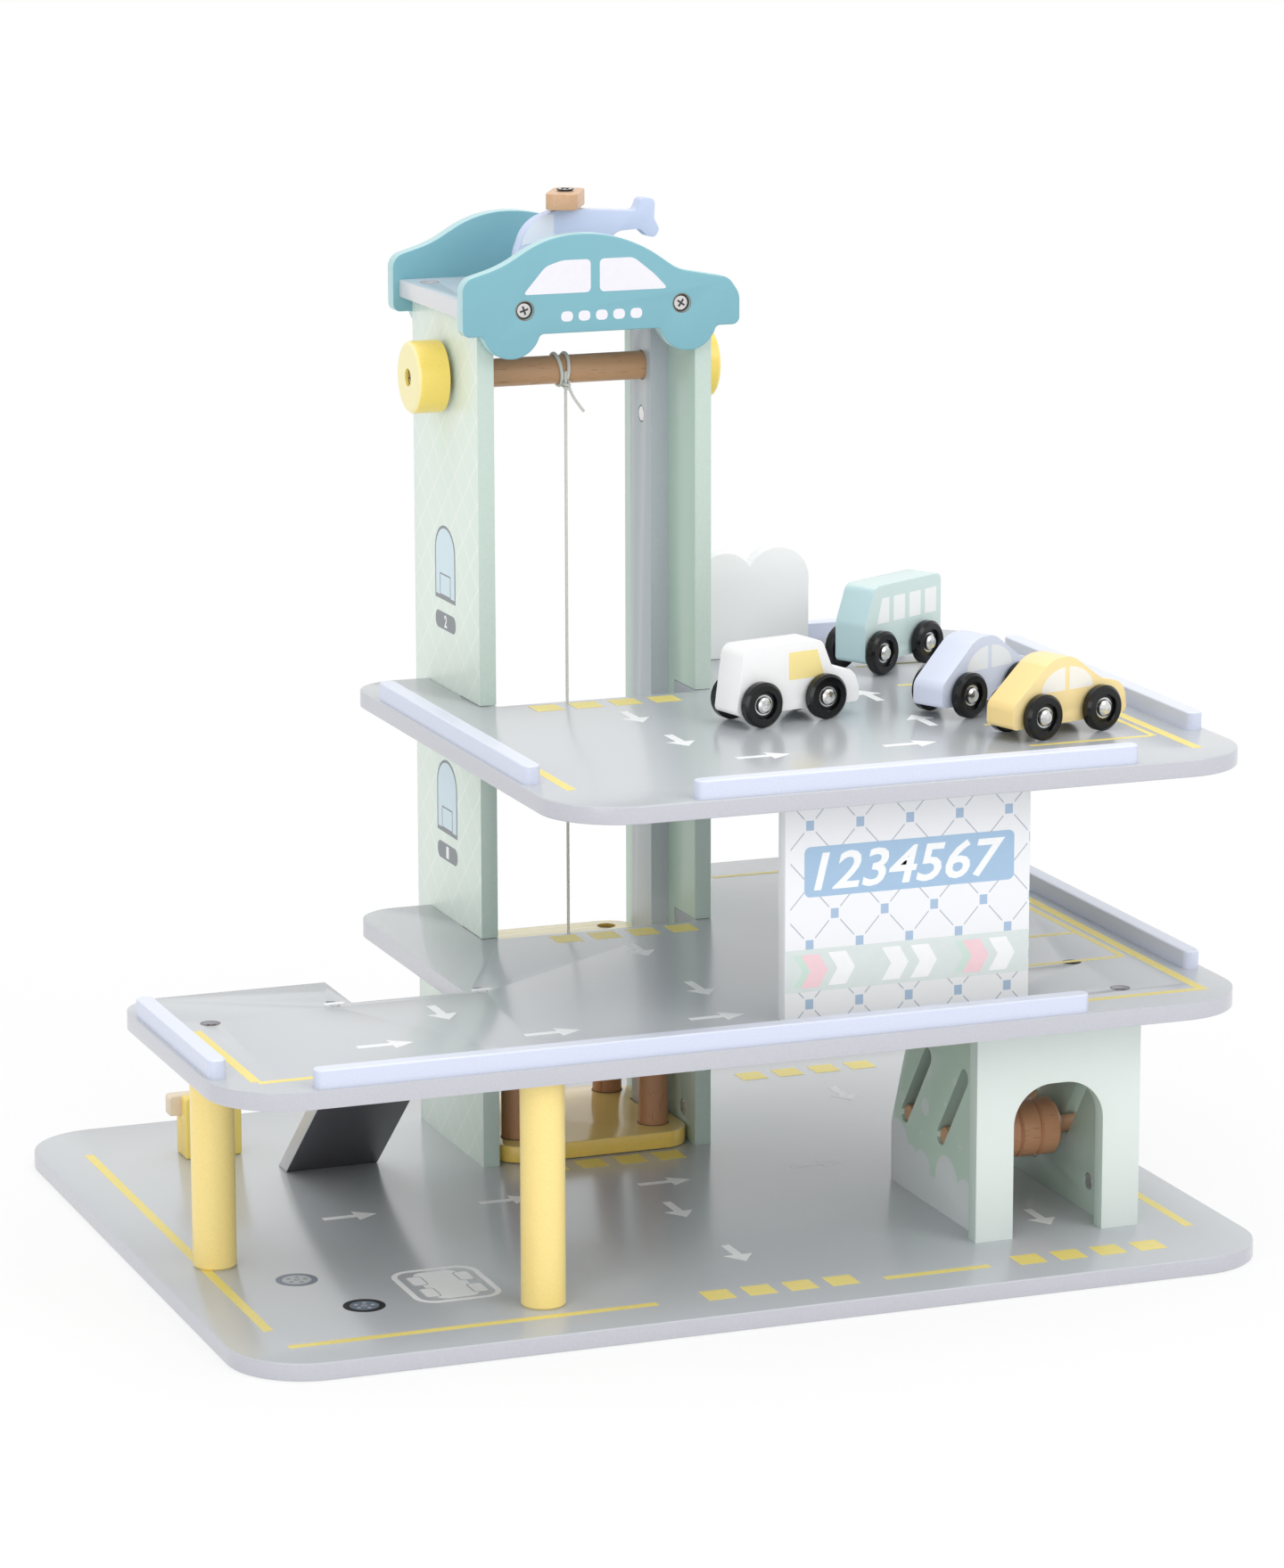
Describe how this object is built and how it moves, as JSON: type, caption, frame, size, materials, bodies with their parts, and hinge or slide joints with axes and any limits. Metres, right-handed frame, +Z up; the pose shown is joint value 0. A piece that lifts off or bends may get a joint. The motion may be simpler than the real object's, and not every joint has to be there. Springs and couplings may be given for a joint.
{
  "type": "toy parking garage",
  "caption": "Wooden toy parking garage with decks, a ramp, a car wash and a rope-winch lift in a tower, with four toy vehicles and a helicopter.",
  "frame": {"origin": "middle of the underside of the base board, on the floor it stands on", "axes": "+X to the right and +Y to the back as seen from the front, +Z up"},
  "size_m": [0.54, 0.432, 0.5196],
  "materials": {
    "grey_board": "satin lacquered fibreboard",
    "mint_board": "satin lacquered fibreboard, printed outside",
    "roof_board": "satin lacquered fibreboard",
    "guide_board": "satin lacquered fibreboard",
    "teal_board": "satin lacquered fibreboard",
    "yellow_wood": "satin paint on wood",
    "mustard_board": "gloss paint on board",
    "lilac_wood": "satin paint on wood",
    "beech": "clear lacquered beech",
    "light_beech": "clear lacquered beech",
    "dark_board": "satin lacquered board",
    "white_board": "satin lacquered board, printed",
    "white_wood": "satin paint on wood",
    "teal_wood": "satin paint on wood",
    "lavender_wood": "satin paint on wood",
    "butter_wood": "satin paint on wood",
    "tyre_black": "gloss black",
    "steel": "zinc plated",
    "cord": "braided"
  },
  "bodies": {
    "garage": {"base_board": "grey_board", "middle_deck": "grey_board", "upper_deck": "grey_board", "tower_left_wall": "mint_board", "tower_right_wall": "mint_board", "left_guide": "guide_board", "right_guide": "guide_board", "roof_board": "roof_board", "front_sign": "teal_board", "back_sign": "teal_board", "sign_screws": "steel", "left_pillar": "yellow_wood", "right_pillar": "yellow_wood", "ramp": "dark_board", "middle_front_rail": "lilac_wood", "middle_left_rail": "lilac_wood", "middle_right_rail": "lilac_wood", "upper_front_rail": "lilac_wood", "upper_left_rail": "lilac_wood", "upper_right_rail": "lilac_wood", "upper_back_rail": "lilac_wood", "lattice_panel": "white_board", "cloud_board": "white_board", "wash_front": "mint_board", "wash_left_wall": "mint_board", "wash_right_wall": "mint_board", "pump_front": "yellow_wood", "pump_rear": "yellow_wood", "pump_block": "light_beech", "frame_screws": "steel", "cross_dowels": "steel", "lift_rope": "cord"},
    "lift": {"lift_floor": "mustard_board", "lift_roof": "mustard_board", "lift_posts": "beech", "lift_screws": "steel"},
    "winch": {"winch_roller": "beech", "left_knob": "yellow_wood", "right_knob": "yellow_wood", "knob_screws": "steel", "rope_turns": "cord"},
    "front_brush_carrier": {"front_brush_axle": "light_beech"},
    "front_brush_barrel": {"front_brush": "beech"},
    "back_brush_carrier": {"back_brush_axle": "light_beech"},
    "back_brush_barrel": {"back_brush": "beech"},
    "helicopter": {"helicopter_body": "lavender_wood", "rotor_screw": "steel"},
    "rotor": {"helicopter_rotor": "light_beech"},
    "white_pickup": {"white_pickup_body": "white_wood"},
    "white_pickup_rear_axle": {"white_pickup_rear_wheels": "tyre_black"},
    "white_pickup_front_axle": {"white_pickup_front_wheels": "tyre_black"},
    "teal_bus": {"teal_bus_body": "teal_wood"},
    "teal_bus_rear_axle": {"teal_bus_rear_wheels": "tyre_black"},
    "teal_bus_front_axle": {"teal_bus_front_wheels": "tyre_black"},
    "lavender_car": {"lavender_car_body": "lavender_wood"},
    "lavender_car_rear_axle": {"lavender_car_rear_wheels": "tyre_black"},
    "lavender_car_front_axle": {"lavender_car_front_wheels": "tyre_black"},
    "yellow_car": {"yellow_car_body": "butter_wood"},
    "yellow_car_rear_axle": {"yellow_car_rear_wheels": "tyre_black"},
    "yellow_car_front_axle": {"yellow_car_front_wheels": "tyre_black"}
  },
  "joints": [
    {"name": "lift_slide", "type": "slide", "parent": "garage", "child": "lift", "axis": [0, 0, 1], "range_m": [0, 0.2397], "deforming": ["lift_rope"]},
    {"name": "winch_turn", "type": "hinge", "parent": "garage", "child": "winch", "pos_m": [0.009, 0.12, 0.4243], "axis": [-1, 0, 0], "range_deg": [0, 1620]},
    {"name": "front_brush_rise", "type": "slide", "parent": "garage", "child": "front_brush_carrier", "axis": [0, -0.6018, 0.7986], "range_m": [0, 0.0475]},
    {"name": "front_brush_spin", "type": "hinge", "parent": "front_brush_carrier", "child": "front_brush_barrel", "pos_m": [0.17625, -0.0946, 0.0494], "axis": [1, 0, 0], "continuous": true},
    {"name": "back_brush_rise", "type": "slide", "parent": "garage", "child": "back_brush_carrier", "axis": [0, -0.6018, 0.7986], "range_m": [0, 0.0475]},
    {"name": "back_brush_spin", "type": "hinge", "parent": "back_brush_carrier", "child": "back_brush_barrel", "pos_m": [0.17625, -0.0485, 0.0494], "axis": [1, 0, 0], "continuous": true},
    {"name": "white_pickup_drive", "type": "slide", "parent": "garage", "child": "white_pickup", "axis": [0.9755, 0.2198, 0], "range_m": [-0.06, 0.025]},
    {"name": "white_pickup_rear_roll", "type": "hinge", "parent": "white_pickup", "child": "white_pickup_rear_axle", "pos_m": [0.05739, -0.0238, 0.27005], "axis": [-0.2198, 0.9755, 0], "range_deg": [-300, 125]},
    {"name": "white_pickup_front_roll", "type": "hinge", "parent": "white_pickup", "child": "white_pickup_front_axle", "pos_m": [0.09641, -0.015, 0.27005], "axis": [-0.2198, 0.9755, 0], "range_deg": [-300, 125]},
    {"name": "teal_bus_drive", "type": "slide", "parent": "garage", "child": "teal_bus", "axis": [0.8712, 0.4909, 0], "range_m": [-0.06, 0.028]},
    {"name": "teal_bus_rear_roll", "type": "hinge", "parent": "teal_bus", "child": "teal_bus_rear_axle", "pos_m": [0.16578, 0.08128, 0.27005], "axis": [-0.4909, 0.8712, 0], "range_deg": [-300, 140]},
    {"name": "teal_bus_front_roll", "type": "hinge", "parent": "teal_bus", "child": "teal_bus_front_axle", "pos_m": [0.20062, 0.10092, 0.27005], "axis": [-0.4909, 0.8712, 0], "range_deg": [-300, 140]},
    {"name": "lavender_car_drive", "type": "slide", "parent": "garage", "child": "lavender_car", "axis": [0.9135, 0.4067, 0], "range_m": [-0.025, 0.03]},
    {"name": "lavender_car_rear_roll", "type": "hinge", "parent": "lavender_car", "child": "lavender_car_rear_axle", "pos_m": [0.16333, -0.04023, 0.27005], "axis": [-0.4067, 0.9135, 0], "range_deg": [-125, 150]},
    {"name": "lavender_car_front_roll", "type": "hinge", "parent": "lavender_car", "child": "lavender_car_front_axle", "pos_m": [0.19987, -0.02397, 0.27005], "axis": [-0.4067, 0.9135, 0], "range_deg": [-125, 150]},
    {"name": "yellow_car_drive", "type": "slide", "parent": "garage", "child": "yellow_car", "axis": [0.9573, 0.289, 0], "range_m": [-0.06, 0.015]},
    {"name": "yellow_car_rear_roll", "type": "hinge", "parent": "yellow_car", "child": "yellow_car_rear_axle", "pos_m": [0.17615, -0.10488, 0.27005], "axis": [-0.289, 0.9573, 0], "range_deg": [-300, 80]},
    {"name": "yellow_car_front_roll", "type": "hinge", "parent": "yellow_car", "child": "yellow_car_front_axle", "pos_m": [0.21445, -0.09332, 0.27005], "axis": [-0.289, 0.9573, 0], "range_deg": [-300, 80]},
    {"name": "helicopter_lift_off", "type": "slide", "parent": "garage", "child": "helicopter", "axis": [0, 0, 1], "range_m": [0, 0.12]},
    {"name": "rotor_spin", "type": "hinge", "parent": "helicopter", "child": "rotor", "pos_m": [0.012, 0.119, 0.51], "axis": [0, 0, 1], "continuous": true}
  ],
  "couplings": [
    {"joint": "winch_turn", "follows": "lift_slide", "rad_per_m": 117.65},
    {"joint": "white_pickup_rear_roll", "follows": "white_pickup_drive", "rad_per_m": 85.106},
    {"joint": "white_pickup_front_roll", "follows": "white_pickup_drive", "rad_per_m": 85.106},
    {"joint": "teal_bus_rear_roll", "follows": "teal_bus_drive", "rad_per_m": 85.106},
    {"joint": "teal_bus_front_roll", "follows": "teal_bus_drive", "rad_per_m": 85.106},
    {"joint": "lavender_car_rear_roll", "follows": "lavender_car_drive", "rad_per_m": 85.106},
    {"joint": "lavender_car_front_roll", "follows": "lavender_car_drive", "rad_per_m": 85.106},
    {"joint": "yellow_car_rear_roll", "follows": "yellow_car_drive", "rad_per_m": 85.106},
    {"joint": "yellow_car_front_roll", "follows": "yellow_car_drive", "rad_per_m": 85.106}
  ]
}
